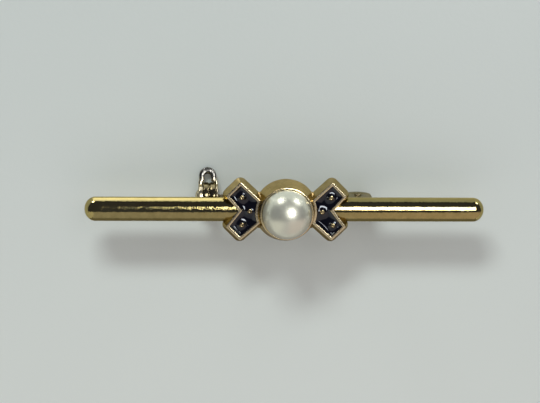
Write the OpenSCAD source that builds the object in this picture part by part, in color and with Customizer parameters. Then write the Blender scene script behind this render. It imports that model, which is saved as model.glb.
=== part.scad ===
// Bar brooch: a round gilt bar with a cupped imitation pearl between two
// fish-tail trays of black enamel, and a hinged pin with a turning catch behind.
// Millimetres. The brooch lies face up: X runs along the bar, Y is the wearer's
// up, and Z = 0 is the surface that the catch and the hinge stand on.

/* [Bar] */
// Length of the bar over its domed ends
bar_len = 57; // [55:0.5:65]
// Diameter of the round bar
bar_d = 3.45; // [3.4:0.05:3.7]
// Depth of the dome on each end of the bar
bar_dome = 1.55; // [1.2:0.05:1.65]
// Height of the bar's axis above the pin's axis
bar_rise = 4.9; // [4.8:0.05:5.4]

/* [Pearl cup] */
// Diameter of the imitation pearl
pearl_d = 7; // [6.8:0.05:7.1]
// Height of the pearl's centre above the bar's axis
pearl_rise = 3.5; // [3.4:0.05:3.7]
// Gap between the pearl and the cup
pearl_gap = 0.04; // [0.02:0.01:0.08]
// Outer diameter of the cup at its rim
cup_rim_d = 7.6; // [7.5:0.05:7.8]
// Outer diameter of the cup where it is widest
cup_wide_d = 9; // [8.8:0.05:9.3]
// Height of the rim above the bar's axis
cup_rim_rise = 3.2; // [3.1:0.05:3.4]

/* [Cast centre] */
// Height above the bar's axis at which the cup and the trays are widest
wide_rise = 0.4; // [0.2:0.05:0.5]
// Depth of the flat back of the cup and the trays below the bar's axis
back_drop = 0.35; // [0.2:0.05:0.6]
// Distance that the back edge draws in from the widest line
back_inset = 0.22; // [0.1:0.02:0.3]

/* [Enamel trays] */
// Height of the trays' rims above the bar's axis
tray_rim_rise = 1.8; // [1.75:0.05:2]
// Depth of the enamel's face below the rim
enamel_sink = 0.4; // [0.25:0.05:0.45]
// Thickness of the enamel
enamel_t = 0.6; // [0.4:0.05:0.7]
// Gap round the edge of the enamel
enamel_gap = 0.02; // [0.01:0.01:0.04]
// Width of the tray's rim
tray_rim_w = 0.36; // [0.3:0.02:0.42]
// Distance that the tray's wall spreads out beyond the enamel where it is widest
tray_flare = 0.8; // [0.7:0.02:0.9]
// Diameter of the gilt pegs that stand in the enamel
peg_d = 0.72; // [0.6:0.02:0.8]

/* [Pin and hinge] */
// Distance of the hinge's rivet from the middle of the bar
hinge_x = 10.9; // [10.8:0.1:12]
// Diameter of the pin's stem
stem_d = 0.84; // [0.7:0.02:0.84]
// Diameter of the pin's flat eye
eye_d = 2.2; // [2:0.1:2.6]
// Thickness of the pin's flat eye
eye_t = 1; // [0.96:0.02:1]
// Width over the two hinge ears
hinge_w = 2.3; // [2.2:0.05:2.6]
// Gap between the two hinge ears
hinge_gap = 1.1; // [1.08:0.02:1.14]
// Diameter of the rivet through the hinge
rivet_d = 0.62; // [0.56:0.02:0.7]
// Length of the pin's tapered point
point_len = 3.15; // [2.6:0.05:3.2]

/* [Turning catch] */
// Distance of the catch from the middle of the bar
catch_x = 10.7; // [10.5:0.1:12]
// Distance that the catch sits above the bar's middle line
catch_y = 0.7; // [0.5:0.05:0.75]
// Outer diameter of the catch's curled hook
hook_d = 4.2; // [4.1:0.05:4.4]
// Wall of the curled hook
hook_t = 0.55; // [0.45:0.05:0.6]
// Width of the curled hook along the bar
hook_w = 1.75; // [1.65:0.05:1.85]
// Angle from straight back to each lip of the hook
hook_lip_angle = 25; // [24:1:28]
// Running clearance of the roller in the hook
roller_gap = 0.08; // [0.05:0.01:0.1]
// Width of the slot that lets the pin into the roller
slot_w = 1.04; // [1.02:0.01:1.1]
// Length of the lever from the pin's axis to its tip
lever_len = 4.34; // [4.3:0.02:4.7]
// Width of the lever's loop
lever_w = 2.5; // [2.4:0.05:2.55]
// Thickness of the lever
lever_t = 0.75; // [0.6:0.05:0.75]
// Distance that the lever's loop sits outward of the hook's middle
lever_shift = 0.2; // [0:0.05:0.2]
// Width of the eye in the lever's loop
lever_eye_w = 0.95; // [0.8:0.05:1]
// Angle of the open lever below level
lever_dip = 20; // [18:0.5:20]

/* [Hidden] */

round_fn = 96;
peg_fn = 32;
// Length by which a cutting shape passes the face that it cuts
past = 1;
// Depth to which joined solids run into each other
sunk = 0.1;
bar_r = bar_d / 2;
// The hook's two lips stand on the surface, which sets the pin's height
pin_z = hook_d / 2 * cos(hook_lip_angle);
bar_z = pin_z + bar_rise;

// Fish-tail outline of the enamel on the right, counter-clockwise
tail_side = [8.12, 2.12];
tail_peak = [6.5, 3.72];
tail_notch = [6.33, 0];
tail_slope = 0.892;
tail_root_x = 3.2;
tail_root = [tail_root_x, tail_peak.y - tail_slope * (tail_peak.x - tail_root_x)];
tail_outline = [
    tail_root, [tail_root.x, -tail_root.y], [tail_peak.x, -tail_peak.y],
    [tail_side.x, -tail_side.y], tail_notch, tail_side, tail_peak
];
// The enamel's inner edge follows the cup at this radius
enamel_inner_r = 4.32;
pocket_z = bar_z + tray_rim_rise - enamel_sink - enamel_t;
rim_round = 0.08;
// Height, spread and corner radius of each ring of the tray's wall; the last ring
// lies above the rim, so that the bevel runs on past the plane that ends the tray
tray_rings = [
    [bar_z - back_drop, tray_flare - back_inset, 0.5],
    [bar_z + wide_rise, tray_flare, 0.5],
    [bar_z + tray_rim_rise - rim_round, tray_rim_w, 0.16],
    [bar_z + tray_rim_rise + rim_round, tray_rim_w - 2 * rim_round, 0.06]
];
corner_steps = 4;
// Middles of the three pegs in each tray
pegs_left = [[-6.34, 2.05], [-5.16, 0.07], [-6.27, -1.94]];
pegs_right = [[6.37, 2.0], [5.14, -0.06], [6.71, -2.0]];
peg_gap = 0.02;
peg_proud = 0.05;

hook_in_r = hook_d / 2 - hook_t;
// Roller: a core inside the hook, a cheek on each side of it and a knob
core_r = hook_in_r - roller_gap;
cheek_gap = 0.07;
cheek_r = 1.75;
cheek_in = hook_w / 2 + cheek_gap;
// The outer cheek is thicker than the one towards the middle of the bar
cheek_left = cheek_in + 0.6;
cheek_right = cheek_in + 0.26;
knob_r = 1;
knob_len = 0.45;
// The lever's legs pass the hook at this distance from the pin's axis
leg_reach = hook_d / 2 + 0.12;
leg_taper = 0.2;
lever_band = 1;

ear_r = pin_z;
rivet_clear = 0.02;
eye_clear = 0.05;
rivet_head_r = 0.52;
rivet_head_h = 0.18;
// The pin leans to meet the catch, which sits above the middle line
pin_lean = atan(catch_y / (hinge_x + catch_x));
pin_reach = (hinge_x + catch_x) / cos(pin_lean) + cheek_left + 0.1;
point_r = 0.06;

// Outward normal of the edge from a to b of a counter-clockwise outline
function edge_normal(a, b) = [b.y - a.y, a.x - b.x] / norm(b - a);

// Points of one corner, spread outwards by grow and rounded by radius
function corner_points(before, corner, after, grow, radius) =
    let (
        n1 = edge_normal(before, corner),
        n2 = edge_normal(corner, after),
        turn = asin(n1.x * n2.y - n1.y * n2.x),
        side = turn > 0 ? 1 : -1,
        miter = (n1 + n2) / (1 + n1 * n2),
        middle = corner + (grow - side * radius) * miter,
        start = atan2(n1.y, n1.x)
    )
    [for (i = [0 : corner_steps])
        let (a = start + turn * i / corner_steps)
        middle + side * radius * [cos(a), sin(a)]];

function rounded_outline(outline, grow, radius) =
    let (count = len(outline))
    [for (i = [0 : count - 1])
        each corner_points(outline[(i + count - 1) % count], outline[i],
                           outline[(i + 1) % count], grow, radius)];

// Outline spread outwards by grow, with sharp corners
function grown_outline(outline, grow) =
    let (count = len(outline))
    [for (i = [0 : count - 1])
        let (
            n1 = edge_normal(outline[(i + count - 1) % count], outline[i]),
            n2 = edge_normal(outline[i], outline[(i + 1) % count])
        )
        outline[i] + grow * (n1 + n2) / (1 + n1 * n2)];

// Half profile of the bar: radius against distance along it
function bar_profile() =
    let (straight = bar_len / 2 - bar_dome, steps = 8)
    concat(
        [for (i = [0 : steps])
            let (a = 90 * i / steps)
            [bar_r * sin(a), -straight - bar_dome * cos(a)]],
        [for (i = [0 : steps])
            let (a = 90 * i / steps)
            [bar_r * cos(a), straight + bar_dome * sin(a)]]
    );

module bar() {
    translate([0, 0, bar_z])
        rotate([0, 90, 0])
            rotate_extrude($fn = round_fn)
                polygon(bar_profile());
}

// Tapered cup: widest near the bar's axis, with a softened rim
module cup_body() {
    edge = 0.12;
    wide_r = cup_wide_d / 2;
    rim_r = cup_rim_d / 2;
    translate([0, 0, bar_z])
        rotate_extrude($fn = round_fn)
            polygon([
                [0, -back_drop], [wide_r - back_inset, -back_drop], [wide_r, wide_rise],
                [rim_r, cup_rim_rise - edge], [rim_r - edge / 2, cup_rim_rise],
                [0, cup_rim_rise]
            ]);
}

// Solid block of one tray, with walls that flare towards the back
module tray_block() {
    rings = [for (ring = tray_rings)
        [for (p = rounded_outline(tail_outline, ring[1], ring[2])) [p.x, p.y, ring[0]]]];
    count = len(rings[0]);
    levels = len(rings);
    walls = [for (k = [0 : levels - 2], i = [0 : count - 1])
        let (j = (i + 1) % count)
        [k * count + i, (k + 1) * count + i, (k + 1) * count + j, k * count + j]];
    back = [for (i = [0 : count - 1]) i];
    top = [for (i = [0 : count - 1]) levels * count - 1 - i];
    difference() {
        polyhedron([for (ring = rings) each ring], concat(walls, [back, top]));
        translate([0, -bar_len / 2, bar_z + tray_rim_rise])
            cube([bar_len / 2, bar_len, past]);
    }
}

// Flat shape of the enamel, larger than its nominal outline by grow
module enamel_shape(grow) {
    difference() {
        polygon(grown_outline(tail_outline, grow));
        circle(r = enamel_inner_r - grow, $fn = round_fn);
    }
}

// The hollow in a tray that holds the enamel
module tray_pocket() {
    translate([0, 0, pocket_z])
        linear_extrude(bar_z + tray_rim_rise + past - pocket_z)
            enamel_shape(0);
}

// One peg: a short post with a low domed top that has a small pit
module peg(place) {
    side = enamel_t + peg_proud;
    dome = 0.1;
    r = peg_d / 2;
    translate([place.x, place.y, pocket_z])
        rotate_extrude($fn = peg_fn)
            polygon([
                [0, -sunk], [r, -sunk], [r, side], [r * 0.85, side + dome * 0.6],
                [r * 0.5, side + dome], [r * 0.3, side + dome], [0, side + dome * 0.2]
            ]);
}

// Curled strip that holds the roller, open straight back between its lips
module hook() {
    r = hook_d / 2;
    half = hook_w / 2;
    bevel = 0.12;
    translate([-catch_x, catch_y, pin_z])
        rotate([0, 90, 0])
            rotate([0, 0, hook_lip_angle])
                rotate_extrude(angle = 360 - 2 * hook_lip_angle, $fn = round_fn)
                    polygon([
                        [hook_in_r, -half], [r - bevel, -half], [r, -half + bevel],
                        [r, -bevel], [r - bevel, 0], [r, bevel],
                        [r, half - bevel], [r - bevel, half], [hook_in_r, half]
                    ]);
}

// Short foot that joins the hook to the back of the bar
module hook_foot() {
    low = pin_z + hook_in_r + sunk;
    high = bar_z - bar_r * 0.6;
    width = 1.8;
    // The foot stands nearer to the bar's middle line than the hook does
    foot_y = catch_y / 2;
    translate([-catch_x - hook_w / 2, foot_y - width / 2, low])
        cube([hook_w, width, high - low]);
}

// Both hinge ears, joined above the pin's eye and soldered to the bar
module hinge_block() {
    eye_room = 0.25;
    bridge_z = pin_z + eye_d / 2 + eye_room;
    top = bar_z - bar_r * 0.6;
    difference() {
        translate([hinge_x, 0, pin_z])
            rotate([90, 0, 0]) {
                cylinder(h = hinge_w, r = ear_r, center = true, $fn = round_fn);
                translate([-ear_r, 0, -hinge_w / 2])
                    cube([2 * ear_r, top - pin_z, hinge_w]);
            }
        translate([hinge_x - ear_r - past, -hinge_gap / 2, -past])
            cube([2 * (ear_r + past), hinge_gap, bridge_z + past]);
        translate([hinge_x, 0, pin_z])
            rotate([90, 0, 0])
                cylinder(h = hinge_w + past, r = rivet_d / 2 + rivet_clear,
                         center = true, $fn = round_fn);
    }
}

// Everything that is cast or soldered into one piece of metal
module brooch_frame() {
    color("goldenrod") {
        difference() {
            union() {
                bar();
                cup_body();
                tray_block();
                mirror([1, 0, 0]) tray_block();
            }
            translate([0, 0, bar_z + pearl_rise])
                sphere(r = pearl_d / 2 + pearl_gap, $fn = round_fn);
            tray_pocket();
            mirror([1, 0, 0]) tray_pocket();
        }
        for (place = concat(pegs_left, pegs_right)) peg(place);
        hook();
        hook_foot();
        hinge_block();
    }
}

// Enamel of one tray, with holes for its pegs
module enamel(pegs, flip) {
    color([0.05, 0.05, 0.07])
        difference() {
            translate([0, 0, pocket_z])
                linear_extrude(enamel_t)
                    mirror([flip, 0])
                        enamel_shape(-enamel_gap);
            for (place = pegs)
                translate([place.x, place.y, pocket_z - past])
                    cylinder(h = enamel_t + 2 * past, r = peg_d / 2 + peg_gap,
                             $fn = peg_fn);
        }
}

module enamel_left() {
    enamel(pegs_left, 1);
}

module enamel_right() {
    enamel(pegs_right, 0);
}

module pearl() {
    color("ivory")
        translate([0, 0, bar_z + pearl_rise])
            sphere(d = pearl_d, $fn = round_fn);
}

// Rivet through both ears, with a low head on each side
module hinge_rivet() {
    half = hinge_w / 2;
    color("gold")
        translate([hinge_x, 0, pin_z])
            rotate([90, 0, 0]) {
                cylinder(h = hinge_w, d = rivet_d, center = true, $fn = round_fn);
                for (side = [0, 1])
                    mirror([0, 0, side])
                        translate([0, 0, half])
                            cylinder(h = rivet_head_h, r1 = rivet_head_r,
                                     r2 = rivet_head_r * 0.6, $fn = round_fn);
            }
}

// Pin: a flat eye and tongue on the rivet, a round stem and a tapered point
module pin_stem() {
    stem_r = stem_d / 2;
    // The tongue is square in section and ends just clear of the ears
    tongue_len = ear_r + 0.45;
    color("gainsboro")
        translate([hinge_x, 0, pin_z])
            difference() {
                union() {
                    rotate([90, 0, 0])
                        cylinder(h = eye_t, d = eye_d, center = true, $fn = round_fn);
                    rotate([0, 0, -pin_lean])
                        rotate([0, -90, 0]) {
                            translate([-eye_t / 2, -eye_t / 2, 0])
                                cube([eye_t, eye_t, tongue_len]);
                            cylinder(h = pin_reach - point_len, r = stem_r, $fn = round_fn);
                            translate([0, 0, pin_reach - point_len])
                                cylinder(h = point_len, r1 = stem_r, r2 = point_r,
                                         $fn = round_fn);
                        }
                }
                rotate([90, 0, 0])
                    cylinder(h = eye_t + past, r = rivet_d / 2 + eye_clear,
                             center = true, $fn = round_fn);
            }
}

// Flat outline of the lever: two legs that join in a loop with an eye
module lever_shape() {
    loop_r = lever_w / 2;
    loop_y = lever_len - loop_r;
    loop_in = leg_reach + leg_taper;
    eye_r = lever_eye_w / 2;
    eye_y = lever_len - lever_band - eye_r;
    difference() {
        union() {
            polygon([
                [-cheek_left, 0], [cheek_right, 0], [cheek_right, leg_reach],
                [loop_r - lever_shift, loop_in], [loop_r - lever_shift, loop_y],
                [-loop_r - lever_shift, loop_y], [-loop_r - lever_shift, loop_in],
                [-cheek_left, leg_reach]
            ]);
            translate([-lever_shift, loop_y]) circle(r = loop_r, $fn = round_fn);
        }
        polygon([
            [-cheek_in, -past], [cheek_in, -past], [cheek_in, leg_reach],
            [eye_r - lever_shift, loop_in], [eye_r - lever_shift, eye_y],
            [-eye_r - lever_shift, eye_y], [-eye_r - lever_shift, loop_in],
            [-cheek_in, leg_reach]
        ]);
        translate([-lever_shift, eye_y]) circle(r = eye_r, $fn = round_fn);
    }
}

// Roller with its lever: the slot faces straight back while the lever is out
module catch_roller() {
    // The bore stops short of the knob's end
    knob_wall = 0.15;
    bore_end = cheek_left + knob_len - knob_wall;
    bore_len = bore_end + cheek_right + past;
    color("gainsboro")
        translate([-catch_x, catch_y, pin_z])
            difference() {
                union() {
                    rotate([0, 90, 0]) {
                        translate([0, 0, -cheek_left])
                            cylinder(h = cheek_left + cheek_right, r = core_r,
                                     $fn = round_fn);
                        translate([0, 0, cheek_in])
                            cylinder(h = cheek_right - cheek_in, r = cheek_r,
                                     $fn = round_fn);
                        translate([0, 0, -cheek_left])
                            cylinder(h = cheek_left - cheek_in, r = cheek_r,
                                     $fn = round_fn);
                    }
                    translate([-cheek_left, 0, 0])
                        rotate([0, -90, 0])
                            rotate_extrude($fn = round_fn)
                                polygon([
                                    [0, -sunk], [knob_r, -sunk], [knob_r, knob_len * 0.4],
                                    [knob_r * 0.9, knob_len * 0.7],
                                    [knob_r * 0.65, knob_len * 0.92], [0, knob_len]
                                ]);
                    rotate([-lever_dip, 0, 0])
                        translate([0, 0, -lever_t / 2])
                            linear_extrude(lever_t)
                                lever_shape();
                }
                translate([-bore_end, 0, 0])
                    rotate([0, 90, 0])
                        cylinder(h = bore_len, d = slot_w, $fn = round_fn);
                translate([-bore_end, -slot_w / 2, -hook_d])
                    cube([bore_len, slot_w, hook_d]);
            }
}

brooch_frame();
enamel_left();
enamel_right();
pearl();
hinge_rivet();
pin_stem();
catch_roller();
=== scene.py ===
# Looks of the bar brooch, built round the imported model. Sizes are in millimetres and turn
# into metres when a mesh is made. Every piece is made in its place, with the pearl up.
import math

import bmesh
import bpy
from mathutils import Matrix, Vector, noise
from mathutils.geometry import delaunay_2d_cdt


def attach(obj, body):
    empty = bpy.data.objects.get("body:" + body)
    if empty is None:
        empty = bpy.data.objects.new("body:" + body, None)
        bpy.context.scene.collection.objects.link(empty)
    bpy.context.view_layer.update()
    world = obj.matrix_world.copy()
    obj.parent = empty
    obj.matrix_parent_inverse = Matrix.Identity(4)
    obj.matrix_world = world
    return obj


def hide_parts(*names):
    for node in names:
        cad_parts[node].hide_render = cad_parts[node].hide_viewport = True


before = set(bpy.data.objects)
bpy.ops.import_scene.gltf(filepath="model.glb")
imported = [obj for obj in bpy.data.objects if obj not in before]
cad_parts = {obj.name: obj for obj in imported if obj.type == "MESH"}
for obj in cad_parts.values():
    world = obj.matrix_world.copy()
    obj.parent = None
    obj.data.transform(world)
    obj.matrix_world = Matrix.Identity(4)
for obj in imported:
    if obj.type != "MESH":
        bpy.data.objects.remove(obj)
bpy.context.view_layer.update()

MM = 0.001

# Curled hook of the catch: diameter, thickness of the strip, width, half angle of its mouth
HOOK_D = 4.2
HOOK_T = 0.55
HOOK_W = 1.75
HOOK_LIP = 25

# Heights of the pin's and the bar's middle lines above the table
PIN_Z = HOOK_D / 2 * math.cos(math.radians(HOOK_LIP))
BAR_Z = PIN_Z + 4.9

# Bar, and how far each domed end reaches past its straight part
BAR_LEN = 57
BAR_R = 1.725
BAR_DOME = 1.55
# What is soldered on behind the bar ends this high, inside the bar
BAR_FOOT_Z = BAR_Z - BAR_R * 0.6

# Pearl and cup
PEARL_R = 3.5
PEARL_Z = BAR_Z + 3.5
PEARL_GAP = 0.04
CUP_RIM_R = 3.8
CUP_WIDE_R = 4.5
CUP_RIM_Z = BAR_Z + 3.2

# Height where the cup and the trays are widest, and height of their flat backs
WIDE_Z = BAR_Z + 0.4
BACK_Z = BAR_Z - 0.35

# Trays: rim, face of the enamel and floor of the pocket
TRAY_RIM_Z = BAR_Z + 1.8
ENAMEL_Z = TRAY_RIM_Z - 0.4
POCKET_Z = ENAMEL_Z - 0.6
# The rim stands this far in over the pocket
RIM_IN = 0.08

# Fish-tail outline of the right-hand pocket, counter-clockwise: the tips and the notch of
# its far side, and its root inside the cup. The finished tray is drawn a tenth of a
# millimetre fuller on its far side than the plain solid.
TIPS = [(6.5, -3.72), (8.12, -2.12), (6.33, 0.2), (8.12, 2.22), (6.5, 3.85)]
NOTCH_X = 6.33
ROOT = (3.2, 0.7764)
TAIL = [ROOT, (ROOT[0], -ROOT[1]), *TIPS]
# The cup's side of the pocket is an arc round the cup: its radius and half its angle
ENAMEL_IN_R = 4.32
CUP_CUT = math.radians(20.7)

# Gilt pegs that stand in the enamel
PEG_R = 0.36
PEG_H = 0.8
PEG_DOME = 0.14
PEG_PIT = 0.12
PEG_PIT_R = 0.13
PEG_GAP = 0.02
PEGS_LEFT = [(-6.34, 2.05), (-5.16, 0.07), (-6.27, -1.94)]
PEGS_RIGHT = [(6.37, 2.0), (5.14, -0.06), (6.71, -2.0)]

# Hinge: place, radius of the ears' round ends, width over both ears, gap between them
HINGE_X = 10.9
EAR_R = PIN_Z
HINGE_W = 2.3
HINGE_GAP = 1.1
RIVET_R = 0.31

# Pin: flat eye and round stem
EYE_R = 1.1
EYE_T = 0.92
EYE_H = 1.0
STEM_R = 0.42
POINT_R = 0.06
POINT_LEN = 3.15

# Catch: its middle, the inner and outer faces of its two cheeks, the drum between them
CATCH = Vector((-10.7, 0.7, PIN_Z))
CHEEK_IN = HOOK_W / 2 + 0.07
CHEEK_LEFT = CHEEK_IN + 0.6
CHEEK_RIGHT = CHEEK_IN + 0.26
CHEEK_R = 1.75
CORE_R = HOOK_D / 2 - HOOK_T - 0.08
KNOB_R = 1.0
KNOB_LEN = 0.45
BORE_R = 0.52
LEVER_DIP = math.radians(20)

# The pin runs slantwise from the hinge into the catch
PIN_LEAN = math.atan2(CATCH.y, HINGE_X - CATCH.x)
PIN_REACH = math.hypot(CATCH.y, HINGE_X - CATCH.x) + CHEEK_LEFT + 0.1

# Edges that turn by more than this many degrees stay sharp
SHARP = 38


# Mesh making

def within(p, outline):
    """Whether a point lies inside an outline."""
    inside = False
    for i, b in enumerate(outline):
        a = outline[i - 1]
        if (a[1] > p.y) != (b[1] > p.y):
            if p.x < (b[0] - a[0]) * (p.y - a[1]) / (b[1] - a[1]) + a[0]:
                inside = not inside
    return inside


class Shape:
    """Points and faces of one piece, gathered ring by ring."""

    def __init__(self):
        self.points = []
        self.faces = []

    def ring(self, points):
        """Add a ring of points and give their numbers."""
        start = len(self.points)
        self.points.extend(Vector(p) for p in points)
        return list(range(start, len(self.points)))

    def wall(self, low, high, closed=True):
        """Strip of faces between two rings of as many points."""
        count = len(low)
        for i in range(count if closed else count - 1):
            j = (i + 1) % count
            self.faces.append((low[i], low[j], high[j], high[i]))

    def walls(self, rings):
        """Strips between each ring and the next."""
        for low, high in zip(rings, rings[1:]):
            self.wall(low, high)

    def cap(self, outer, holes=(), inside=()):
        """Level face between a ring and its holes, through the points inside it."""
        ids = []
        edges = []
        for loop in [outer, *holes]:
            first = len(ids)
            count = len(loop)
            edges += [(first + k, first + (k + 1) % count) for k in range(count)]
            ids += loop
        level = self.points[outer[0]].z
        ids += self.ring([(x, y, level) for x, y in inside])
        flat = [self.points[i].xy for i in ids]
        found = delaunay_2d_cdt(flat, edges, [], 0, 1e-7)
        same = [ids[source[0]] for source in found[3]]
        rim = [self.points[i].xy for i in outer]
        gaps = [[self.points[i].xy for i in loop] for loop in holes]
        for face in found[2]:
            middle = sum((found[0][i] for i in face), Vector((0, 0))) / len(face)
            if within(middle, rim) and not any(within(middle, gap) for gap in gaps):
                self.faces.append(tuple(same[i] for i in face))

    def add(self, other, place=Matrix()):
        """Take in another shape, put in its place."""
        start = len(self.points)
        self.points += [place @ p for p in other.points]
        self.faces += [tuple(start + i for i in face) for face in other.faces]


def lathe(profile, steps, turn=360, closed_profile=False):
    """Profile of (radius, height) pairs turned about Z; a part turn gets flat ends."""
    shape = Shape()
    full = turn == 360
    spokes = steps if full else steps + 1
    rings = []
    for k in range(spokes):
        angle = math.radians(turn * k / steps)
        c, s = math.cos(angle), math.sin(angle)
        rings.append(shape.ring([(r * c, r * s, z) for r, z in profile]))
    for k in range(steps):
        shape.wall(rings[k], rings[(k + 1) % spokes], closed_profile)
    if not full:
        shape.faces += [tuple(rings[0]), tuple(rings[-1])]
    return shape


def ball(radius, steps, spokes):
    """Ball turned about Z, open at its poles until its doubled points are merged."""
    angles = [math.pi * k / steps for k in range(steps + 1)]
    return lathe([(radius * math.sin(a), -radius * math.cos(a)) for a in angles], spokes)


def quarter(steps, start=0):
    """Sine and cosine of the steps of a quarter turn."""
    angles = [math.pi / 2 * k / steps for k in range(start, steps + 1)]
    return [(math.sin(a), math.cos(a)) for a in angles]


def arc(radius, start, turn, steps):
    """Points along an arc round the origin, from its first angle on."""
    angles = [start + turn * k / steps for k in range(steps + 1)]
    return [(radius * math.cos(a), radius * math.sin(a)) for a in angles]


def circle(x, y, r, steps=32):
    """Points of a closed circle."""
    angles = [math.tau * k / steps for k in range(steps)]
    return [Vector((x + r * math.cos(a), y + r * math.sin(a))) for a in angles]


def at(points, z):
    """Outline lifted to a height."""
    return [(p[0], p[1], z) for p in points]


def corner(before, point, after, grow, radius, steps):
    """Points of one corner of an outline, spread by grow and rounded by radius."""
    before, point, after = Vector(before), Vector(point), Vector(after)
    d1 = (point - before).normalized()
    d2 = (after - point).normalized()
    n1 = Vector((d1.y, -d1.x))
    n2 = Vector((d2.y, -d2.x))
    turn = math.asin(max(-1, min(1, n1.x * n2.y - n1.y * n2.x)))
    side = 1 if turn > 0 else -1
    middle = point + (grow - side * radius) * (n1 + n2) / (1 + n1.dot(n2))
    start = math.atan2(n1.y, n1.x)
    angles = [start + turn * k / steps for k in range(steps + 1)]
    return [middle + side * radius * Vector((math.cos(a), math.sin(a))) for a in angles]


def rounded(outline, grow, radius, steps=4):
    """Outline spread by grow, with every corner rounded by radius."""
    count = len(outline)
    points = []
    for i, point in enumerate(outline):
        points += corner(outline[i - 1], point, outline[(i + 1) % count], grow, radius, steps)
    return points


def plate(outline, thick, bevel, holes=()):
    """Flat plate centred on Z = 0 with softened edges and round holes (x, y, r)."""
    shape = Shape()
    half = thick / 2
    least_r = 0.02
    hole_bevel = 0.7
    levels = [(-half + bevel * (1 - s), bevel * (1 - c)) for s, c in quarter(3)][::-1]
    levels = levels + [(-z, inset) for z, inset in levels[::-1]]
    rings = [shape.ring(at(rounded(outline, -inset, least_r + bevel, 5), z))
             for z, inset in levels]
    shape.walls(rings)
    bottoms = []
    tops = []
    for x, y, r in holes:
        inner = [shape.ring(at(circle(x, y, r + inset * hole_bevel, 48), z))
                 for z, inset in levels]
        shape.walls(inner)
        bottoms.append(inner[0])
        tops.append(inner[-1])
    shape.cap(rings[0], bottoms)
    shape.cap(rings[-1], tops)
    return shape


def box_plate(half_width, low, high, thick, bevel):
    """Plate with a rectangular outline from low to high."""
    return plate([(-half_width, low), (half_width, low), (half_width, high), (-half_width, high)],
                 thick, bevel)


def put(thing):
    """Add an object to the scene."""
    bpy.context.scene.collection.objects.link(thing)
    return thing


def smooth(mesh, sharp=None):
    """Shade a mesh smooth, but for edges that turn by more than the sharp angle."""
    for face in mesh.polygons:
        face.use_smooth = True
    if sharp:
        mesh.set_sharp_from_angle(angle=math.radians(sharp))
    return mesh


def mesh_of(name, shape, place=Matrix(), sharp=SHARP):
    """Closed mesh in metres, with its faces outward."""
    weld = 2e-7
    mesh = bpy.data.meshes.new(name)
    mesh.from_pydata([(place @ p) * MM for p in shape.points], [], shape.faces)
    work = bmesh.new()
    work.from_mesh(mesh)
    bmesh.ops.remove_doubles(work, verts=work.verts, dist=weld)
    loose = [v for v in work.verts if not v.link_faces]
    bmesh.ops.delete(work, geom=loose, context="VERTS")
    bmesh.ops.recalc_face_normals(work, faces=work.faces)
    work.to_mesh(mesh)
    work.free()
    return smooth(mesh, sharp)


def settled(thing, name, *helpers):
    """Plain mesh of an object with its modifiers done. The object and its helpers go."""
    ready = thing.evaluated_get(bpy.context.evaluated_depsgraph_get())
    result = bpy.data.meshes.new_from_object(ready)
    result.name = name
    for other in (thing, *helpers):
        bpy.data.objects.remove(other)
    return result


def fused(name, shapes, voxel, passes):
    """One smooth cast solid out of shapes that run into each other."""
    parts = Shape()
    for shape, place in shapes:
        parts.add(shape, place)
    thing = put(bpy.data.objects.new(name + "_parts", mesh_of(name + "_parts", parts)))
    remesh = thing.modifiers.new("fuse", "REMESH")
    remesh.mode = "VOXEL"
    remesh.voxel_size = voxel * MM
    remesh.use_smooth_shade = True
    soften = thing.modifiers.new("soften", "SMOOTH")
    soften.factor = 0.5
    soften.iterations = passes
    return smooth(settled(thing, name))


def cut(mesh, tools):
    """Mesh with each tool's shape taken out of it."""
    thing = put(bpy.data.objects.new("cutting", mesh))
    helpers = [put(bpy.data.objects.new(tool.name + "_cutter", tool)) for tool in tools]
    for helper in helpers:
        bite = thing.modifiers.new(helper.name, "BOOLEAN")
        bite.operation = "DIFFERENCE"
        bite.solver = "EXACT"
        bite.object = helper
    result = settled(thing, mesh.name, *helpers)
    result.set_sharp_from_angle(angle=math.radians(SHARP))
    return result


def piece(name, mesh, body, slot, material, *replaced):
    """Finished piece of the brooch, riding on its body."""
    thing = put(bpy.data.objects.new(name, mesh))
    mesh.materials.clear()
    mesh.materials.append(material)
    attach(thing, body)
    if replaced:
        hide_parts(*replaced)


# Node helpers

def node(tree, kind, **values):
    """New node with its settings."""
    made = tree.nodes.new(kind)
    for key, value in values.items():
        setattr(made, key, value)
    return made


def feed(tree, socket, value):
    """Link another node's output to a socket, or set the socket to a plain value."""
    if isinstance(value, bpy.types.NodeSocket):
        tree.links.new(value, socket)
    else:
        socket.default_value = value


def feed_all(tree, target, **values):
    """Feed a node's inputs by their names, with _ for a space."""
    for label, value in values.items():
        feed(tree, target.inputs[label.replace("_", " ")], value)


def math_node(tree, operation, *values):
    """Sum, product or the like of plain values and other nodes' outputs."""
    made = node(tree, "ShaderNodeMath", operation=operation)
    for socket, value in zip(made.inputs, values):
        feed(tree, socket, value)
    return made.outputs[0]


def axis(tree, vector, letter):
    """One of the three parts of a vector."""
    split = node(tree, "ShaderNodeSeparateXYZ")
    tree.links.new(vector, split.inputs[0])
    return split.outputs[letter]


def ramp(tree, value, low, high, to_low=0, to_high=1, ease="SMOOTHSTEP"):
    """Value between low and high, spread from to_low to to_high."""
    made = node(tree, "ShaderNodeMapRange", interpolation_type=ease)
    feed_all(tree, made, Value=value, From_Min=low, From_Max=high, To_Min=to_low, To_Max=to_high)
    return made.outputs[0]


def object_place(tree):
    """Place on the piece in metres, which stays with the piece when it moves."""
    return node(tree, "ShaderNodeTexCoord").outputs["Object"]


def noise_node(tree, where, scale, detail, rough):
    """Cloudy mask with so many clouds to the metre."""
    made = node(tree, "ShaderNodeTexNoise")
    feed_all(tree, made, Vector=where, Scale=scale, Detail=detail, Roughness=rough)
    return made.outputs["Fac"]


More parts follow.
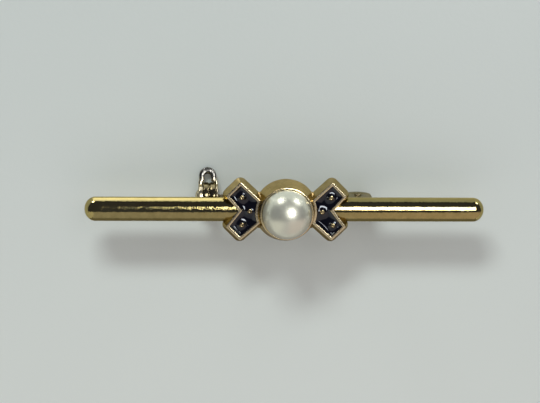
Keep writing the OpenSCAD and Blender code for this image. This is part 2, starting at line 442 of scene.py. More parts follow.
def mix_colour(tree, mask, low, high, blend="MIX"):
    """Blend of two colours by a mask. Each is a plain colour or another node's output."""
    made = node(tree, "ShaderNodeMix", data_type="RGBA", blend_type=blend)
    feed(tree, made.inputs[0], mask)
    for k, value in ((6, low), (7, high)):
        feed(tree, made.inputs[k], (*value, 1) if isinstance(value, tuple) else value)
    return made.outputs[2]


def bump(tree, height, strength, distance, under=None):
    """Surface direction with a relief of the given height, in metres, pressed into it."""
    made = node(tree, "ShaderNodeBump")
    feed_all(tree, made, Height=height, Strength=strength, Distance=distance)
    if under:
        tree.links.new(under, made.inputs["Normal"])
    return made.outputs["Normal"]


def new_sockets(tree, direction, sockets):
    """Sockets of a node group, each as (name, kind, value or None)."""
    for label, kind, value in sockets:
        socket = tree.interface.new_socket(label, in_out=direction, socket_type="NodeSocket" + kind)
        if value is not None:
            socket.default_value = value


# Materials

def plated_wear():
    """Handled plating: cloudy tone, fine pits and faint dents, as masks and a normal."""
    group = bpy.data.node_groups.new("plated wear", "ShaderNodeTree")
    new_sockets(group, "INPUT", [("Cloud size", "Float", 900), ("Pit size", "Float", 5200),
                                 ("Pit depth", "Float", 0.3), ("Dent depth", "Float", 0.3)])
    new_sockets(group, "OUTPUT", [("Cloud", "Float", None), ("Pits", "Float", None),
                                  ("Normal", "Vector", None)])
    given = group.nodes.new("NodeGroupInput").outputs
    out = group.nodes.new("NodeGroupOutput")
    place = object_place(group)
    cloud = noise_node(group, place, given["Cloud size"], 3, 0.6)
    pits = noise_node(group, place, given["Pit size"], 2, 0.6)
    dent_size = math_node(group, "MULTIPLY", given["Cloud size"], 1.3)
    dents = noise_node(group, place, dent_size, 1, 0.4)
    hollows = math_node(group, "POWER", pits, 2.0)
    dented = bump(group, dents, given["Dent depth"], 0.00012)
    pitted = bump(group, hollows, given["Pit depth"], 0.00002, dented)
    feed_all(group, out, Cloud=cloud, Pits=pits, Normal=pitted)
    return group


WEAR = plated_wear()


def new_material(name):
    """New material with its node tree and its shader."""
    material = bpy.data.materials.new(name)
    material.use_nodes = True
    tree = material.node_tree
    return material, tree, tree.nodes["Principled BSDF"]


def plated(name, bright, dull, rough_low, rough_high, painted_top_highlight=None, darker_far_end=None, **wear):
    """Plated metal whose tone and polish drift. Tops that face up may get a painted highlight,
    and the far end of a piece may be painted darker, from and to a distance along Y."""
    material, tree, shader = new_material(name)
    worn = node(tree, "ShaderNodeGroup", node_tree=WEAR)
    feed_all(tree, worn, **wear)
    cloud = ramp(tree, worn.outputs["Cloud"], 0.35, 0.68, ease="LINEAR")
    tone = mix_colour(tree, cloud, bright, dull)
    if painted_top_highlight:
        # Painted highlight: faces that point up are painted in a lighter colour
        facing = node(tree, "ShaderNodeNewGeometry").outputs["Normal"]
        top = ramp(tree, axis(tree, facing, "Z"), 0.72, 0.92)
        tone = mix_colour(tree, top, tone, painted_top_highlight)
    if darker_far_end:
        # The piece is painted darker toward its far end along Y
        start, finish, far_end_tone = darker_far_end
        end = ramp(tree, axis(tree, object_place(tree), "Y"), start * MM, finish * MM)
        tone = mix_colour(tree, end, tone, far_end_tone)
    polish = ramp(tree, worn.outputs["Pits"], 0.3, 0.75, rough_low, rough_high, "LINEAR")
    feed_all(tree, shader, Base_Color=tone, Roughness=polish, Normal=worn.outputs["Normal"])
    shader.inputs["Metallic"].default_value = 1
    shader.inputs["Specular Tint"].default_value = (0.72, 0.66, 0.5, 1)
    return material


# Lighter colour painted on upward tops of the rims and the cup as a painted highlight
PAINTED_TOP_HIGHLIGHT = (0.88, 0.75, 0.47)
GOLD = plated("gold plate", (0.50, 0.41, 0.17), (0.43, 0.35, 0.14), 0.045, 0.09,
              Pit_depth=0.65, Dent_depth=0.12)
RIM_GOLD = plated("worn rim gold with painted highlight", (0.47, 0.365, 0.175), (0.36, 0.27, 0.12), 0.20, 0.30,
                  PAINTED_TOP_HIGHLIGHT, Pit_depth=0.15, Dent_depth=0.2)
CUP_GOLD = plated("cup gold", (0.57, 0.43, 0.205), (0.45, 0.335, 0.15), 0.20, 0.30,
                  PAINTED_TOP_HIGHLIGHT, Pit_depth=0.15, Dent_depth=0.3)
PEG_GOLD = plated("peg gold", (0.40, 0.33, 0.18), (0.27, 0.21, 0.11), 0.18, 0.28,
                  Cloud_size=1500, Pit_depth=0.4, Dent_depth=0.5)
SOLDER = plated("warm solder", (0.50, 0.36, 0.17), (0.40, 0.28, 0.12), 0.24, 0.34,
                Pit_depth=0.4, Dent_depth=0.6)
DULL_GOLD = plated("dull gold", (0.24, 0.20, 0.11), (0.17, 0.14, 0.08), 0.14, 0.24,
                   Cloud_size=1500, Pit_depth=0.3, Dent_depth=0.4)
PALE = plated("pale plate", (0.27, 0.225, 0.135), (0.19, 0.155, 0.095), 0.22, 0.36,
              Cloud_size=1500, Pit_depth=0.3, Dent_depth=0.5)
# The lever's far end is painted darker
CATCH_METAL = plated("catch metal", (0.74, 0.65, 0.46), (0.56, 0.48, 0.32), 0.20, 0.32,
                     darker_far_end=(2.9, 3.7, (0.17, 0.165, 0.15)),
                     Cloud_size=1500, Pit_depth=0.3, Dent_depth=0.5)


def black_enamel():
    """Fired black enamel: glassy, with a faint ripple."""
    material, tree, shader = new_material("black enamel")
    place = object_place(tree)
    cloud = noise_node(tree, place, 700, 2, 0.5)
    tone = mix_colour(tree, cloud, (0.001, 0.001, 0.003), (0.003, 0.003, 0.006))
    ripple = bump(tree, noise_node(tree, place, 1500, 1, 0.4), 0.03, 0.0001)
    feed_all(tree, shader, Base_Color=tone, Normal=ripple)
    shader.inputs["Roughness"].default_value = 0.02
    shader.inputs["IOR"].default_value = 1.62
    shader.inputs["Specular Tint"].default_value = (0.88, 0.94, 1, 1)
    return material


def nacre():
    """Imitation pearl: a cloudy white body, painted lighter toward its rim as a painted sheen,
    under a soft clear coat.
    """
    material, tree, shader = new_material("pearl coat")
    place = object_place(tree)
    cloud = noise_node(tree, place, 260, 2, 0.5)
    body = mix_colour(tree, cloud, (0.96, 0.955, 0.80), (0.87, 0.865, 0.73))
    # Painted sheen: the body is painted darker where it faces the view and lighter toward its rim
    facing = node(tree, "ShaderNodeLayerWeight")
    facing.inputs["Blend"].default_value = 0.45
    painted_edge_sheen = mix_colour(tree, facing.outputs["Facing"], (0.72, 0.72, 0.68), (1, 1, 0.97))
    tone = mix_colour(tree, 0.6, body, painted_edge_sheen, "MULTIPLY")
    grain = bump(tree, noise_node(tree, place, 900, 3, 0.6), 0.08, 0.0001)
    feed_all(tree, shader, Base_Color=tone, Normal=grain)
    shader.inputs["Metallic"].default_value = 0.72
    shader.inputs["Roughness"].default_value = 0.36
    shader.inputs["Coat Weight"].default_value = 1
    shader.inputs["Coat Roughness"].default_value = 0.04
    return material


ENAMEL = black_enamel()
PEARL = nacre()


# Bar

def turned_bar():
    """The bar: round in section with domed ends, let in under the trays and the cup."""
    straight = BAR_LEN / 2 - BAR_DOME
    cup_reach = 4.2
    cup_floor = -0.1
    # The pocket's far wall runs outward by this much for each step away from the notch
    tray_slant = 0.844
    tray_wall = 0.2
    # Rings lie close where the bar is let in, wider apart beyond
    fine_from, fine_to, fine_step = 3.6, 8.6, 0.05
    middle = [k * 0.4 for k in range(9)]
    under = [fine_from + fine_step * k for k in range(100)]
    plain = [fine_to + (straight - fine_to) * k / 24 for k in range(24)]
    dome = [straight + BAR_DOME * math.sin(math.pi / 2 * k / 16) for k in range(17)]
    half = middle + under + plain + dome
    profile = []
    for x in [-x for x in half[:0:-1]] + half:
        into = max(0.0, abs(x) - straight) / BAR_DOME
        profile.append((BAR_R * math.sqrt(max(0.0, 1 - into * into)), x))
    shape = lathe(profile, 128)
    turn = Matrix.Rotation(math.pi / 2, 4, "Y")
    for p in shape.points:
        p.xyz = turn @ p
        out = abs(p.x)
        if out < cup_reach:
            p.z = min(p.z, cup_floor)
        elif out < NOTCH_X + tray_wall + tray_slant * abs(p.y):
            p.z = min(p.z, POCKET_Z - BAR_Z + cup_floor)
    return mesh_of("bar", shape, Matrix.Translation((0, 0, BAR_Z)))


# Cup and pearl

def turned_cup():
    """The cup: a flared wall, a narrow rolled rim and a bowl that the pearl sits in."""
    bowl = PEARL_R + PEARL_GAP
    drop = PEARL_Z - CUP_RIM_Z
    lip = 0.11
    inner_r = math.sqrt(bowl * bowl - (drop + lip) ** 2)
    # Foot of the wall: how far inside its widest line, and how high
    foot = [(0.32, BACK_Z), (0.24, BACK_Z + 0.03), (0.19, BACK_Z + 0.1), (0.03, WIDE_Z - 0.1),
            (0, WIDE_Z), (0.025, WIDE_Z + 0.12)]
    profile = [(0, BACK_Z)] + [(CUP_WIDE_R - inset, z) for inset, z in foot]
    # The wall is a little hollow between its foot and its rim
    deepest = 0.05
    for k in range(1, 9):
        t = k / 8
        hollow = deepest * math.sin(math.pi * t)
        profile.append((CUP_WIDE_R + (CUP_RIM_R - CUP_WIDE_R) * t - hollow,
                        WIDE_Z + (CUP_RIM_Z - lip - WIDE_Z) * t))
    middle = (CUP_RIM_R + inner_r) / 2
    half = (CUP_RIM_R - inner_r) / 2
    for k in range(1, 9):
        a = math.pi * k / 8
        profile.append((middle + half * math.cos(a), CUP_RIM_Z - lip + lip * math.sin(a)))
    start = math.acos((drop + lip) / bowl)
    for k in range(1, 17):
        a = start * (1 - k / 16)
        profile.append((bowl * math.sin(a), PEARL_Z - bowl * math.cos(a)))
    return mesh_of("cup", lathe(profile, 160))


def moulded_pearl():
    """The pearl, a hair out of true like a dipped one."""
    deepest = 0.003
    dips_per_mm = 0.45
    shape = ball(PEARL_R, 72, 144)
    for p in shape.points:
        dip = 0.5 + 0.5 * noise.noise(p * dips_per_mm)
        p *= 1 - deepest * dip
    return mesh_of("pearl", shape, Matrix.Translation((0, 0, PEARL_Z)))


# Trays, enamel and pegs

def flip(points):
    """Mirror image of an outline to the left side, still counter-clockwise."""
    return [Vector((-p[0], p[1])) for p in reversed(points)]


# Outline of the right-hand pocket: its arc round the cup, then its tips
POCKET = arc(ENAMEL_IN_R, CUP_CUT, -2 * CUP_CUT, 16) + TIPS


def tray(name, left):
    """Tray with flared walls, a rounded rim and a flat-floored pocket."""
    side = flip if left else list
    # Each level of the outer wall is (height, spread of the outline, corner radius)
    wide, wide_r = 0.85, 0.9
    rim_out = 0.37
    rim_corner = 0.28
    rim_r = 0.13
    wall_foot = WIDE_Z + 0.14
    wall_rise = TRAY_RIM_Z - rim_r - WIDE_Z - 0.14
    levels = [(BACK_Z, 0.50, 0.6), (BACK_Z + 0.05, 0.57, 0.66), (WIDE_Z - 0.12, wide, wide_r),
              (WIDE_Z, 0.88, 0.95), (wall_foot, wide, wide_r)]
    for k in range(1, 6):
        t = k / 5
        levels.append((wall_foot + wall_rise * t, wide - (wide - rim_out) * t,
                       wide_r - (wide_r - rim_corner) * t))
    for k, (s, c) in enumerate(quarter(4, 1), 1):
        levels.append((TRAY_RIM_Z - rim_r + rim_r * s, rim_out - rim_r + rim_r * c,
                       rim_corner - 0.04 * k))
    shape = Shape()
    outer = [shape.ring(at(side(rounded(TAIL, grow, radius, 8)), z)) for z, grow, radius in levels]
    lip = 0.1
    pocket_r = 0.12
    inner_levels = [(TRAY_RIM_Z - lip + lip * c, lip - lip * s) for s, c in quarter(4)]
    inner_levels.append((POCKET_Z, 0))
    inner = [shape.ring(at(side(rounded(POCKET, grow - RIM_IN, pocket_r)), z))
             for z, grow in inner_levels]
    shape.walls(outer)
    shape.walls(inner)
    shape.cap(outer[0])
    shape.cap(outer[-1], [inner[0]])
    shape.cap(inner[-1])
    return mesh_of(name, shape)


def seam_fillets(side):
    """Runs of solder in the two corners where a tray meets the cup: balls in a row, large
    at the foot and small at the top, fused into one."""
    shapes = []
    for half in (-1, 1):
        for k in range(7):
            t = k / 6
            r = 0.36 - 0.14 * t
            wobble = 0.05 * math.sin(5.1 * t + 2.3 * half + side)
            spot = Vector((side * (3.74 - 0.22 * t + wobble), half * (2.3 - 0.8 * t),
                           WIDE_Z + 0.05 + 1.25 * t))
            shapes.append((ball(r, 12, 20), Matrix.Translation(spot)))
    return fused("fillets", shapes, 0.07, 5)


def from_edge(p, outline):
    """Distance from a point to the nearest side of an outline."""
    best = 1e9
    for i, b in enumerate(outline):
        a = Vector(outline[i - 1])
        line = Vector(b) - a
        t = max(0, min(1, (p - a).dot(line) / line.length_squared))
        best = min(best, (p - a - line * t).length)
    return best


def from_pegs(p, pegs):
    """Distance from a point to the middle of the nearest peg."""
    return min((p - Vector(peg)).length for peg in pegs)


def creep(away, height, reach):
    """How far the enamel stands up at a distance from a wall or a peg."""
    return height * math.exp(-(max(0, away) / reach) ** 1.5)


def enamel_points(pegs, left, outline):
    """Points of the enamel's face: rings round the pegs and a fine net between them."""
    step = 0.05
    off_wall = 0.06
    off_peg = 0.05
    rings = 14
    rings_reach = 0.74
    # The net starts at this distance from the cup's middle
    net_from, net_wide, net_tall = 4.1, 4.4, 8
    inside = []
    taken = set()

    def offer(p, spacing):
        """Keep a point unless another one is already near."""
        cell = (round(p.x / spacing), round(p.y / spacing), spacing)
        clear = from_pegs(p, pegs) > PEG_R + off_peg
        if cell not in taken and clear and within(p, outline) and from_edge(p, outline) > off_wall:
            taken.add(cell)
            inside.append(p)

    for x, y in pegs:
        for k in range(rings):
            for p in circle(x, y, PEG_R + 0.06 + step * k, 40 + 2 * k):
                offer(p, 0.045)
    for i in range(int(net_wide / step)):
        for j in range(int(net_tall / step)):
            x = net_from + (i + 0.5 * (j % 2)) * step
            p = Vector((-x if left else x, j * step - net_tall / 2))
            if from_pegs(p, pegs) > PEG_R + rings_reach:
                offer(p, 0.03)
    return inside


def enamel(name, pegs, left):
    """Enamel that creeps up the rim and the pegs, as it does when it is fired."""
    side = flip if left else list
    sharp = side(rounded(POCKET, -RIM_IN, 0.02, 1))
    edge = side(rounded(POCKET, -RIM_IN - 0.02, 0.1))
    floor_z = POCKET_Z + 0.01
    sunk = 0.04
    shape = Shape()
    low = shape.ring(at(edge, floor_z))
    high = shape.ring(at(edge, ENAMEL_Z))
    shape.wall(low, high)
    peg_low = []
    peg_high = []
    for x, y in pegs:
        peg_low.append(shape.ring(at(circle(x, y, PEG_R + PEG_GAP), floor_z)))
        peg_high.append(shape.ring(at(circle(x, y, PEG_R + PEG_GAP), ENAMEL_Z)))
        shape.wall(peg_low[-1], peg_high[-1])
    shape.cap(low, peg_low)
    shape.cap(high, peg_high, enamel_points(pegs, left, sharp))
    for p in shape.points:
        if p.z > ENAMEL_Z - 0.1:
            wall = from_edge(p.xy, sharp)
            post = from_pegs(p.xy, pegs) - PEG_R
            p.z += creep(wall, 0.3, 0.3) + creep(post, 0.26, 0.31) - sunk
    return mesh_of(name, shape, sharp=60)


def peg_maker():
    """Node tree that stands a small pitted peg on every point of a mesh."""
    tree = bpy.data.node_groups.new("gilt pegs", "GeometryNodeTree")
    new_sockets(tree, "INPUT", [
        ("Geometry", "Geometry", None), ("Radius", "Float", PEG_R * MM),
        ("Height", "Float", PEG_H * MM), ("Dome", "Float", PEG_DOME * MM),
        ("Pit", "Float", PEG_PIT * MM), ("Pit radius", "Float", PEG_PIT_R * MM),
        ("Finish", "Material", None)])
    new_sockets(tree, "OUTPUT", [("Geometry", "Geometry", None)])
    given = tree.nodes.new("NodeGroupInput").outputs
    out = tree.nodes.new("NodeGroupOutput")
    post = node(tree, "GeometryNodeMeshCylinder", fill_type="TRIANGLE_FAN")
    for label, count in (("Vertices", 32), ("Side Segments", 2), ("Fill Segments", 9)):
        post.inputs[label].default_value = count
    feed_all(tree, post, Radius=given["Radius"], Depth=given["Height"])
    place = node(tree, "GeometryNodeInputPosition").outputs[0]
    x, y = axis(tree, place, "X"), axis(tree, place, "Y")
    across = math_node(tree, "SQRT", math_node(
        tree, "ADD", math_node(tree, "MULTIPLY", x, x), math_node(tree, "MULTIPLY", y, y)))
    share = math_node(tree, "DIVIDE", across, given["Radius"])
    left_over = math_node(tree, "SUBTRACT", 1.0, math_node(tree, "MULTIPLY", share, share))
    crown = math_node(tree, "SQRT", math_node(tree, "MAXIMUM", left_over, 0.0))
    near = math_node(tree, "DIVIDE", across, given["Pit radius"])
    hollow = math_node(tree, "EXPONENT", math_node(
        tree, "MULTIPLY", math_node(tree, "MULTIPLY", near, near), -1.0))
    rise = math_node(tree, "SUBTRACT", math_node(tree, "MULTIPLY", crown, given["Dome"]),
                     math_node(tree, "MULTIPLY", hollow, given["Pit"]))
    lift = node(tree, "ShaderNodeCombineXYZ")
    shaped = node(tree, "GeometryNodeSetPosition")
    stand = node(tree, "GeometryNodeInstanceOnPoints")
    real = node(tree, "GeometryNodeRealizeInstances")
    finish = node(tree, "GeometryNodeSetMaterial")
    feed_all(tree, lift, Z=rise)
    feed_all(tree, shaped, Geometry=post.outputs["Mesh"], Selection=post.outputs["Top"],
             Offset=lift.outputs[0])
    feed_all(tree, stand, Points=given["Geometry"], Instance=shaped.outputs[0])
    feed_all(tree, real, Geometry=stand.outputs[0])
    feed_all(tree, finish, Geometry=real.outputs[0], Material=given["Finish"])
    feed_all(tree, out, Geometry=finish.outputs[0])
    return tree


PEG_TREE = peg_maker()


def standing_pegs(name, places):
    """The three pegs of a tray, each standing on the floor of the pocket."""
    mesh = bpy.data.meshes.new(name + "_points")
    mesh.from_pydata([Vector((x, y, POCKET_Z + PEG_H / 2)) * MM for x, y in places], [], [])
    thing = put(bpy.data.objects.new(name + "_points", mesh))
    maker = thing.modifiers.new("pegs", "NODES")
    maker.node_group = PEG_TREE
    for socket in PEG_TREE.interface.items_tree:
        if socket.name == "Finish":
            maker[socket.identifier] = PEG_GOLD
    return smooth(settled(thing, name), 50)


# Hinge and pin

def facing_y(x, y, z):
    """Place that turns a plate drawn in XY to stand in XZ, its thickness along Y."""
    return Matrix.Translation((x, y, z)) @ Matrix.Rotation(math.pi / 2, 4, "X")


def facing_x(x, y, z):
    """Place that turns a plate drawn in XY to stand in YZ, its thickness along X."""
    return Matrix.Translation((x, y, z)) @ Matrix(
        ((0, 0, 1, 0), (1, 0, 0, 0), (0, 1, 0, 0), (0, 0, 0, 1)))


def hinge():
    """Two round-ended ears and the bridge that joins them above the pin's eye."""
    top = BAR_FOOT_Z - PIN_Z
    outline = [(EAR_R, top), (-EAR_R, top)] + arc(EAR_R, math.pi, math.pi, 24)
    ear_t = (HINGE_W - HINGE_GAP) / 2
    rivet_gap = 0.02
    ear = plate(outline, ear_t, 0.1, [(0, 0, RIVET_R + rivet_gap)])
    shape = Shape()
    for y in (-1, 1):
        shape.add(ear, facing_y(HINGE_X, y * (HINGE_GAP + ear_t) / 2, PIN_Z))
    eye_room = 0.25
    into_ears = 0.1
    bridge = box_plate(EAR_R, EYE_R + eye_room, top, HINGE_GAP + into_ears, 0.02)
    shape.add(bridge, facing_y(HINGE_X, 0, PIN_Z))
    return mesh_of("hinge_ears", shape)


def rivet():
    """Rivet through both ears, with a low round head on each side."""
    half = HINGE_W / 2
    rise = 0.18
    head_r = 0.52
    profile = [(head_r * s, -half - rise * c) for s, c in quarter(8)]
    profile += [(RIVET_R + 0.05, -half), (RIVET_R, -half + 0.05)]
    profile = profile + [(r, -z) for r, z in profile[::-1]]
    return mesh_of("hinge_rivet", lathe(profile, 48), facing_y(HINGE_X, 0, PIN_Z))


def pin():
    """Pin: a drilled flat eye that runs through a tongue into the round stem and its point."""
    tongue = EAR_R + 0.45
    neck = 1.5
    stem_from = 1.2
    half = EYE_H / 2
    rivet_gap = 0.05
    shoulder = math.radians(32)
    eye = arc(EYE_R, shoulder, math.tau - 2 * shoulder, 40)
    eye += [(neck, -half + 0.02), (tongue, -half + 0.05), (tongue, half - 0.05),
            (neck, half - 0.02)]
    flat = plate(eye, EYE_T, 0.08, [(0, 0, RIVET_R + rivet_gap)])
    straight = PIN_REACH - POINT_LEN
    taper = POINT_LEN - 0.05
    profile = [(0, stem_from), (STEM_R, stem_from)]
    profile += [(STEM_R, stem_from + (straight - stem_from) * k / 12) for k in range(1, 13)]
    for k in range(1, 13):
        t = k / 12
        profile.append((STEM_R + (POINT_R - STEM_R) * t ** 1.25, straight + taper * t))
    profile.append((0, PIN_REACH - 0.005))
    along = Matrix.Translation((HINGE_X, 0, PIN_Z)) @ Matrix.Rotation(-PIN_LEAN, 4, "Z")
    shape = Shape()
    shape.add(flat, along @ Matrix.Rotation(math.pi, 4, "Z") @ Matrix.Rotation(math.pi / 2, 4, "X"))
    shape.add(lathe(profile, 48), along @ Matrix.Rotation(-math.pi / 2, 4, "Y"))
    return mesh_of("pin_stem", shape)


# Catch

def catch_hook():
    """Curled strip with a groove round its middle, and the foot that joins it to the bar."""
    r = HOOK_D / 2
    inner = r - HOOK_T
    half = HOOK_W / 2
    soft = 0.12
    profile = [(inner, -half + 0.05), (inner + 0.05, -half)]
    profile += [(r - soft + soft * s, -half + soft - soft * c) for s, c in quarter(4)]
    profile += [(r, -0.2), (r - 0.05, -0.12), (r - 0.14, -0.03)]
    profile += [(p, -z) for p, z in profile[::-1]]
    curl = lathe(profile, 84, 360 - 2 * HOOK_LIP, True)
    place = (Matrix.Translation(CATCH) @ Matrix.Rotation(math.pi / 2, 4, "Y")
             @ Matrix.Rotation(math.radians(HOOK_LIP), 4, "Z"))
    foot_w = 1.8
    foot = box_plate(foot_w / 2, PIN_Z + inner + 0.1, BAR_FOOT_Z, HOOK_W, 0.1)
    shape = Shape()
    shape.add(curl, place)
    shape.add(foot, facing_x(CATCH.x, CATCH.y / 2, 0))
    return mesh_of("catch_hook", shape)


def lever_line():
    """Middle line of the lever and its half width there, from one leg round to the other."""
    left = -(CHEEK_LEFT + CHEEK_IN) / 2
    left_half = (CHEEK_LEFT - CHEEK_IN) / 2
    right = (CHEEK_RIGHT + CHEEK_IN) / 2
    right_half = (CHEEK_RIGHT - CHEEK_IN) / 2 + 0.05
    middle = -0.2
    tip = 4.34
    leg_foot = 0.4
    leg = HOOK_D / 2 + 0.12
    half_hole = 0.475
    half_out = 1.25
    arm = (half_hole + half_out) / 2
    band = (half_out - half_hole) / 2
    bend = tip - half_out
    line = [(left, leg_foot, left_half), (left, leg - 0.1, left_half),
            (middle - arm, leg + 0.25, band), (middle - arm, bend, band)]
    for k in range(1, 16):
        a = math.pi - math.pi * k / 16
        thick = band + 0.09 * math.sin(a)
        reach = half_out - thick
        line.append((middle + reach * math.cos(a), bend + reach * math.sin(a), thick))
    line += [(middle + arm, bend, band), (middle + arm, leg + 0.25, band),
             (right, leg - 0.1, right_half), (right, leg_foot, right_half)]
    return line


def squared(value):
    """Sine or cosine pushed outward, so that a circle turns into a soft square."""
    return math.copysign(abs(value) ** 0.75, value)


def lever():
    """Looped lever with a soft square section."""
    shape = Shape()
    line = lever_line()
    deep = 0.375
    rings = []
    for i, (x, y, half) in enumerate(line):
        before = Vector(line[max(0, i - 1)][:2])
        after = Vector(line[min(len(line) - 1, i + 1)][:2])
        along = (after - before).normalized()
        out = Vector((-along.y, along.x))
        ring = []
        for k in range(20):
            a = math.tau * k / 20
            c, s = squared(math.cos(a)), squared(math.sin(a))
            ring.append((x + out.x * half * c, y + out.y * half * c, deep * s))
        rings.append(shape.ring(ring))
    shape.walls(rings)
    shape.faces += [tuple(rings[0]), tuple(rings[-1])]
    return shape


def roller():
    """Roller and lever cast in one, with the slot and bore that take the pin."""
    drum = [(0, -CHEEK_RIGHT), (CHEEK_R - 0.1, -CHEEK_RIGHT), (CHEEK_R, -CHEEK_RIGHT + 0.08),
            (CHEEK_R, -CHEEK_IN), (CORE_R, -CHEEK_IN), (CORE_R, CHEEK_IN), (CHEEK_R, CHEEK_IN),
            (CHEEK_R, CHEEK_LEFT - 0.12), (CHEEK_R - 0.12, CHEEK_LEFT), (KNOB_R, CHEEK_LEFT)]
    drum += [(KNOB_R * c, CHEEK_LEFT + KNOB_LEN * s) for s, c in quarter(8, 1)]
    along = Matrix.Translation(CATCH) @ Matrix.Rotation(-math.pi / 2, 4, "Y")
    dipped = Matrix.Translation(CATCH) @ Matrix.Rotation(-LEVER_DIP, 4, "X")
    whole = fused("catch_roller", [(lathe(drum, 72), along), (lever(), dipped)], 0.04, 3)
    blind = CHEEK_LEFT + KNOB_LEN - 0.15
    past = CHEEK_RIGHT + 1
    bore = lathe([(0, -past), (BORE_R, -past), (BORE_R, blind), (0, blind)], 48)
    length = blind + past
    slot = box_plate(BORE_R, -4, 0, length, 0.005)
    stand = facing_x(CATCH.x + past - length / 2, CATCH.y, CATCH.z)
    return cut(whole, [mesh_of("bore", bore, along), mesh_of("slot", slot, stand)])


# The pieces

piece("bar", turned_bar(), "brooch", "gold_plate", GOLD, "brooch_frame")
piece("cup", turned_cup(), "brooch", "gold_plate", CUP_GOLD)
piece("tray_left", tray("tray_left", True), "brooch", "gold_plate", RIM_GOLD)
piece("tray_right", tray("tray_right", False), "brooch", "gold_plate", RIM_GOLD)
piece("fillets_left", seam_fillets(-1), "brooch", "gold_plate", SOLDER)
piece("fillets_right", seam_fillets(1), "brooch", "gold_plate", SOLDER)
piece("pegs_left", standing_pegs("pegs_left", PEGS_LEFT), "brooch", "gold_plate", PEG_GOLD)
piece("pegs_right", standing_pegs("pegs_right", PEGS_RIGHT), "brooch", "gold_plate", PEG_GOLD)
piece("enamel_face_left", enamel("enamel_face_left", PEGS_LEFT, True), "brooch",
      "black_enamel", ENAMEL, "enamel_left")
piece("enamel_face_right", enamel("enamel_face_right", PEGS_RIGHT, False), "brooch",
      "black_enamel", ENAMEL, "enamel_right")
piece("pearl_ball", moulded_pearl(), "brooch", "pearl_coat", PEARL, "pearl")
piece("hinge_ears", hinge(), "brooch", "gold_plate", DULL_GOLD)
piece("catch_hook", catch_hook(), "brooch", "gold_plate", DULL_GOLD)
piece("rivet", rivet(), "brooch", "pale_plate", PALE, "hinge_rivet")
piece("pin", pin(), "pin", "pale_plate", PALE, "pin_stem")
piece("catch", roller(), "catch", "pale_plate", CATCH_METAL, "catch_roller")


# Table, camera and lights

def sheet(name, corners):
    """Flat four-cornered surface, its corners in millimetres."""
    mesh = bpy.data.meshes.new(name)
    mesh.from_pydata([Vector(p) * MM for p in corners], [], [(0, 1, 2, 3)])
    return put(bpy.data.objects.new(name, mesh))


def table():
    """Pale smooth table top, a little glossy where it is seen from low down."""
    reach = 1500
    top = sheet("table_top", [(-reach, -reach, 0), (reach, -reach, 0), (reach, reach, 0),
                              (-reach, reach, 0)])
    material, tree, shader = new_material("pale table")
    place = object_place(tree)
    # Painted light falloff: the table is painted lighter on the near side and darker away from it
    away = ramp(tree, axis(tree, place, "Y"), -0.045, 0.045)
    paper_with_painted_falloff = mix_colour(tree, away, (0.785, 0.825, 0.79), (0.66, 0.71, 0.69))
    cloud = noise_node(tree, place, 18, 2, 0.5)
    blotch = mix_colour(tree, cloud, (0.96, 0.965, 0.96), (1, 1, 1))
    tone = mix_colour(tree, 1, paper_with_painted_falloff, blotch, "MULTIPLY")
    grain = bump(tree, noise_node(tree, place, 1800, 2, 0.5), 0.1, 0.0001)
    feed_all(tree, shader, Base_Color=tone, Normal=grain)
    shader.inputs["Roughness"].default_value = 0.38
    shader.inputs["Specular IOR Level"].default_value = 0.5
    top.data.materials.append(material)


def shade_card():
    """Glowing grey card on the near side that only reflections show, a painted dark reflection. The
    lower edges mirror it.
    """
    half = 32
    card = sheet("shade_card", [(-half, -7.5, 0.3), (half, -7.5, 0.3), (half, -12, 8.8),
                                (-half, -12, 8.8)])
    material, _, shader = new_material("shade card")
    shader.inputs["Base Color"].default_value = (0, 0, 0, 1)
    shader.inputs["Specular IOR Level"].default_value = 0
    shader.inputs["Emission Color"].default_value = (0.22, 0.215, 0.205, 1)
    shader.inputs["Emission Strength"].default_value = 1
    card.data.materials.append(material)
    card.visible_camera = False
    card.visible_diffuse = False
    card.visible_shadow = False


# Line of sight from the brooch to the camera, and the picture's right and up
TILT_UP = math.radians(12.5)
TILT_SIDE = math.radians(4.1)
ROLL = math.radians(1.05)
TOWARD = Vector((-math.sin(TILT_SIDE) * math.cos(TILT_UP), math.sin(TILT_UP),
                 math.cos(TILT_UP) * math.cos(TILT_SIDE)))
LEVEL = (-TOWARD).cross(Vector((0, 1, 0))).normalized()
STRAIGHT_UP = LEVEL.cross(-TOWARD)
RIGHT = LEVEL * math.cos(ROLL) + STRAIGHT_UP * math.sin(ROLL)
UP = STRAIGHT_UP * math.cos(ROLL) - LEVEL * math.sin(ROLL)


def turned(across, up):
    """Turn that puts a camera's or a lamp's own right and up along two directions."""
    return Matrix((across, up, across.cross(up))).transposed().to_4x4()


def camera():
    """Camera at the photo's distance and angle, with the photo's framing."""
    sensor = 36
    focal_px = 1825
    picture_w = 540
    distance = 260
    # The brooch lies a little right of and below the picture's middle
    off_left = 2.19
    off_up = 1.10
    data = bpy.data.cameras.new("camera")
    data.sensor_width = sensor
    data.lens = focal_px / picture_w * sensor
    data.clip_start = 0.01
    data.clip_end = 10
    eye = put(bpy.data.objects.new("camera", data))
    spot = Vector((0, 0, BAR_Z)) + TOWARD * distance - RIGHT * off_left + UP * off_up
    eye.matrix_world = Matrix.Translation(spot * MM) @ turned(RIGHT, UP)
    bpy.context.scene.camera = eye


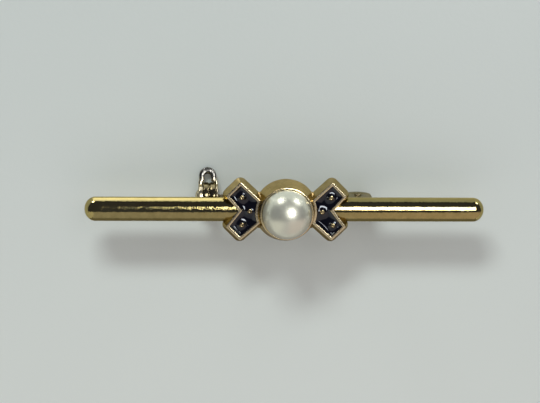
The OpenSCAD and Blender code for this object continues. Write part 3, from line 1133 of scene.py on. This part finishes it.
def lamp(name, middle, across, up, width, height, radiance, diffuse=True, glossy=True,
         colour=(1, 1, 1), spread=180):
    """Rectangular soft light, sized and placed in millimetres."""
    data = bpy.data.lights.new(name, "AREA")
    data.shape = "RECTANGLE"
    data.size = width * MM
    data.size_y = height * MM
    data.energy = radiance * width * height * MM * MM * math.pi
    data.color = colour
    data.spread = math.radians(spread)
    thing = put(bpy.data.objects.new(name, data))
    thing.matrix_world = Matrix.Translation(middle * MM) @ turned(across, up)
    thing.visible_camera = False
    thing.visible_diffuse = diffuse
    thing.visible_glossy = glossy


def light(name, direction, distance, width, height, radiance, upright=(0, 0, 1), **more):
    """Lamp that faces the brooch from a direction."""
    direction = Vector(direction).normalized()
    across = Vector(upright).cross(direction).normalized()
    lamp(name, direction * distance, across, direction.cross(across), width, height, radiance,
         **more)


def glow_card():
    """Small bright card behind the left half, which the bar's upper edge mirrors. It shines
    straight at the bar and hardly sideways, so the trays and the pearl stay clear of it."""
    foot = Vector((0, 6.4, 0.3))
    top = Vector((0, 11, 7.45))
    middle = (foot + top) / 2 + Vector((-19, 0, 0))
    lamp("glow_card", middle, Vector((1, 0, 0)), (foot - top).normalized(), 22,
         (top - foot).length, 0.35, diffuse=False, spread=90)


def off_axis(right, up):
    """Direction that lies so many degrees right of and above the line of sight."""
    return TOWARD + RIGHT * math.tan(math.radians(right)) + UP * math.tan(math.radians(up))


def surroundings():
    """Dim room: a pale wall on the near side, warmer to the right, dark above and beyond."""
    world = bpy.data.worlds.new("room")
    bpy.context.scene.world = world
    world.use_nodes = True
    tree = world.node_tree
    way = node(tree, "ShaderNodeTexCoord").outputs["Generated"]
    x, y = axis(tree, way, "X"), axis(tree, way, "Y")
    warm = mix_colour(tree, ramp(tree, x, 0.0, 0.16), (0.42, 0.41, 0.425), (0.56, 0.48, 0.46))
    wall = mix_colour(tree, ramp(tree, x, -0.15, -0.5), warm, (0.66, 0.65, 0.6))
    # The wall's upper edge stands a little higher on the right
    raised = math_node(tree, "MULTIPLY", ramp(tree, x, 0.125, 0.165), -0.10)
    near = ramp(tree, math_node(tree, "ADD", y, raised), -0.285, -0.35)
    room = mix_colour(tree, near, (0.05, 0.055, 0.08), wall)
    tree.links.new(room, tree.nodes["Background"].inputs["Color"])


table()
camera()
surroundings()
# Each light: direction, distance, width, height, radiance
WINDOW = off_axis(20, 8.2)
light("window", WINDOW, 600, 240, 340, 0.5, (0, 1, 0), glossy=False)
light("window_shine", WINDOW, 580, 232, 258, 12, (0, 1, 0), diffuse=False)
light("key", (-0.24, 0.76, 0.675), 700, 260, 100, 26.5, glossy=False, colour=(0.93, 1, 0.99))
light("ceiling", (0, 0, 1), 500, 1600, 1500, 0.325, (0, 1, 0), glossy=False,
      colour=(1, 0.98, 0.93))
light("low_left", (-0.45, 1, 0.07), 520, 160, 60, 16)
light("low_right", (0.72, 1, 0.08), 520, 170, 60, 14)
glow_card()
shade_card()

bpy.context.scene.view_settings.view_transform = "Standard"
